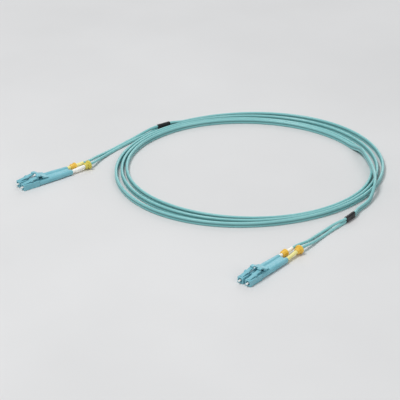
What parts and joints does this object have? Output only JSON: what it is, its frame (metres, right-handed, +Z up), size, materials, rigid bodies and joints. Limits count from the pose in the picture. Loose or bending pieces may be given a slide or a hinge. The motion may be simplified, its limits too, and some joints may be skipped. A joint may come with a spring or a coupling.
{
  "type": "fiber optic patch cord",
  "caption": "Coiled duplex zip-cord fibre patch cord with split legs, heat-shrink sleeves, bent boots and latching duplex plugs with ceramic ferrules.",
  "frame": {"origin": "on the table, under the middle of the box round the two plugs with their boots and collars (the cord is left out of that box)", "axes": "+X to the viewer's right in the pictured view, +Y away from the viewer, +Z up"},
  "size_m": [0.2634, 0.2622, 0.0084],
  "materials": {
    "amber_plastic": "satin moulded plastic",
    "aqua_jacket": "smooth extruded jacket",
    "aqua_plastic": "satin moulded plastic",
    "black_heat_shrink": "shrunk polyolefin",
    "brass": "machined",
    "buffered_fibre": "tight buffer",
    "lemon_plastic": "satin moulded plastic",
    "nickel_plated_metal": "nickel plated",
    "spring_steel": "drawn wire",
    "white_rubber": "smooth moulded elastomer",
    "yellow_rubber": "smooth moulded elastomer",
    "zirconia": "polished white ceramic"
  },
  "bodies": {
    "cord_and_housings": {"nose_a1": "aqua_plastic", "nose_a2": "aqua_plastic", "housing_upper_a": "aqua_plastic", "housing_lower_a": "aqua_plastic", "spring_a1": "spring_steel", "spring_a2": "spring_steel", "crimp_body_a1": "brass", "crimp_body_a2": "brass", "crimp_ring_a1": "nickel_plated_metal", "crimp_ring_a2": "nickel_plated_metal", "boot_a1": "yellow_rubber", "boot_a2": "white_rubber", "marker_collar_a1": "amber_plastic", "marker_collar_a2": "lemon_plastic", "nose_b1": "aqua_plastic", "nose_b2": "aqua_plastic", "housing_upper_b": "aqua_plastic", "housing_lower_b": "aqua_plastic", "spring_b1": "spring_steel", "spring_b2": "spring_steel", "crimp_body_b1": "brass", "crimp_body_b2": "brass", "crimp_ring_b1": "nickel_plated_metal", "crimp_ring_b2": "nickel_plated_metal", "boot_b1": "white_rubber", "boot_b2": "yellow_rubber", "marker_collar_b1": "amber_plastic", "marker_collar_b2": "amber_plastic", "leg_a1": "aqua_jacket", "leg_a2": "aqua_jacket", "leg_b1": "aqua_jacket", "leg_b2": "aqua_jacket", "shrink_sleeve_a": "black_heat_shrink", "shrink_sleeve_b": "black_heat_shrink", "trunk_lead_a": "aqua_jacket", "trunk_lead_b": "aqua_jacket", "trunk_coil": "aqua_jacket"},
    "trigger_a": {"trigger_a": "aqua_plastic"},
    "latch_a1": {"latch_a1": "aqua_plastic"},
    "ferrule_unit_a1": {"ferrule_a1": "zirconia", "flange_a1": "nickel_plated_metal", "fibre_a1": "buffered_fibre"},
    "latch_a2": {"latch_a2": "aqua_plastic"},
    "ferrule_unit_a2": {"ferrule_a2": "zirconia", "flange_a2": "nickel_plated_metal", "fibre_a2": "buffered_fibre"},
    "trigger_b": {"trigger_b": "aqua_plastic"},
    "latch_b1": {"latch_b1": "aqua_plastic"},
    "ferrule_unit_b1": {"ferrule_b1": "zirconia", "flange_b1": "nickel_plated_metal", "fibre_b1": "buffered_fibre"},
    "latch_b2": {"latch_b2": "aqua_plastic"},
    "ferrule_unit_b2": {"ferrule_b2": "zirconia", "flange_b2": "nickel_plated_metal", "fibre_b2": "buffered_fibre"}
  },
  "joints": [
    {"name": "trigger_press_a", "type": "hinge", "parent": "cord_and_housings", "child": "trigger_a", "pos_m": [-0.07942, 0.06519, 0.00437], "axis": [0.5948, -0.8039, 0], "range_deg": [0, 6.8], "stiffness_Nm_per_rad": 0.1},
    {"name": "latch_press_a1", "type": "hinge", "parent": "cord_and_housings", "child": "latch_a1", "pos_m": [-0.09695, 0.0561, 0.00457], "axis": [-0.5948, 0.8039, 0], "range_deg": [0, 5.05]},
    {"name": "ferrule_push_a1", "type": "slide", "parent": "cord_and_housings", "child": "ferrule_unit_a1", "axis": [0.8039, 0.5948, 0], "range_m": [0, 0.0006], "stiffness_N_per_m": 2000, "deforming": ["spring_a1"]},
    {"name": "latch_press_a2", "type": "hinge", "parent": "cord_and_housings", "child": "latch_a2", "pos_m": [-0.09324, 0.05108, 0.00457], "axis": [-0.5948, 0.8039, 0], "range_deg": [0, 5.05]},
    {"name": "ferrule_push_a2", "type": "slide", "parent": "cord_and_housings", "child": "ferrule_unit_a2", "axis": [0.8039, 0.5948, 0], "range_m": [0, 0.0006], "stiffness_N_per_m": 2000, "deforming": ["spring_a2"]},
    {"name": "trigger_press_b", "type": "hinge", "parent": "cord_and_housings", "child": "trigger_b", "pos_m": [0.07241, -0.06854, 0.00437], "axis": [0.7694, -0.6388, 0], "range_deg": [0, 6.8], "stiffness_Nm_per_rad": 0.1},
    {"name": "latch_press_b1", "type": "hinge", "parent": "cord_and_housings", "child": "latch_b1", "pos_m": [0.05755, -0.08155, 0.00457], "axis": [-0.7694, 0.6388, 0], "range_deg": [0, 5.05]},
    {"name": "ferrule_push_b1", "type": "slide", "parent": "cord_and_housings", "child": "ferrule_unit_b1", "axis": [0.6388, 0.7694, 0], "range_m": [0, 0.0006], "stiffness_N_per_m": 2000, "deforming": ["spring_b1"]},
    {"name": "latch_press_b2", "type": "hinge", "parent": "cord_and_housings", "child": "latch_b2", "pos_m": [0.06236, -0.08554, 0.00457], "axis": [-0.7694, 0.6388, 0], "range_deg": [0, 5.05]},
    {"name": "ferrule_push_b2", "type": "slide", "parent": "cord_and_housings", "child": "ferrule_unit_b2", "axis": [0.6388, 0.7694, 0], "range_m": [0, 0.0006], "stiffness_N_per_m": 2000, "deforming": ["spring_b2"]}
  ],
  "couplings": [
    {"joint": "latch_press_a1", "follows": "trigger_press_a", "ratio": 0.74},
    {"joint": "latch_press_a2", "follows": "trigger_press_a", "ratio": 0.74},
    {"joint": "latch_press_b1", "follows": "trigger_press_b", "ratio": 0.74},
    {"joint": "latch_press_b2", "follows": "trigger_press_b", "ratio": 0.74}
  ]
}
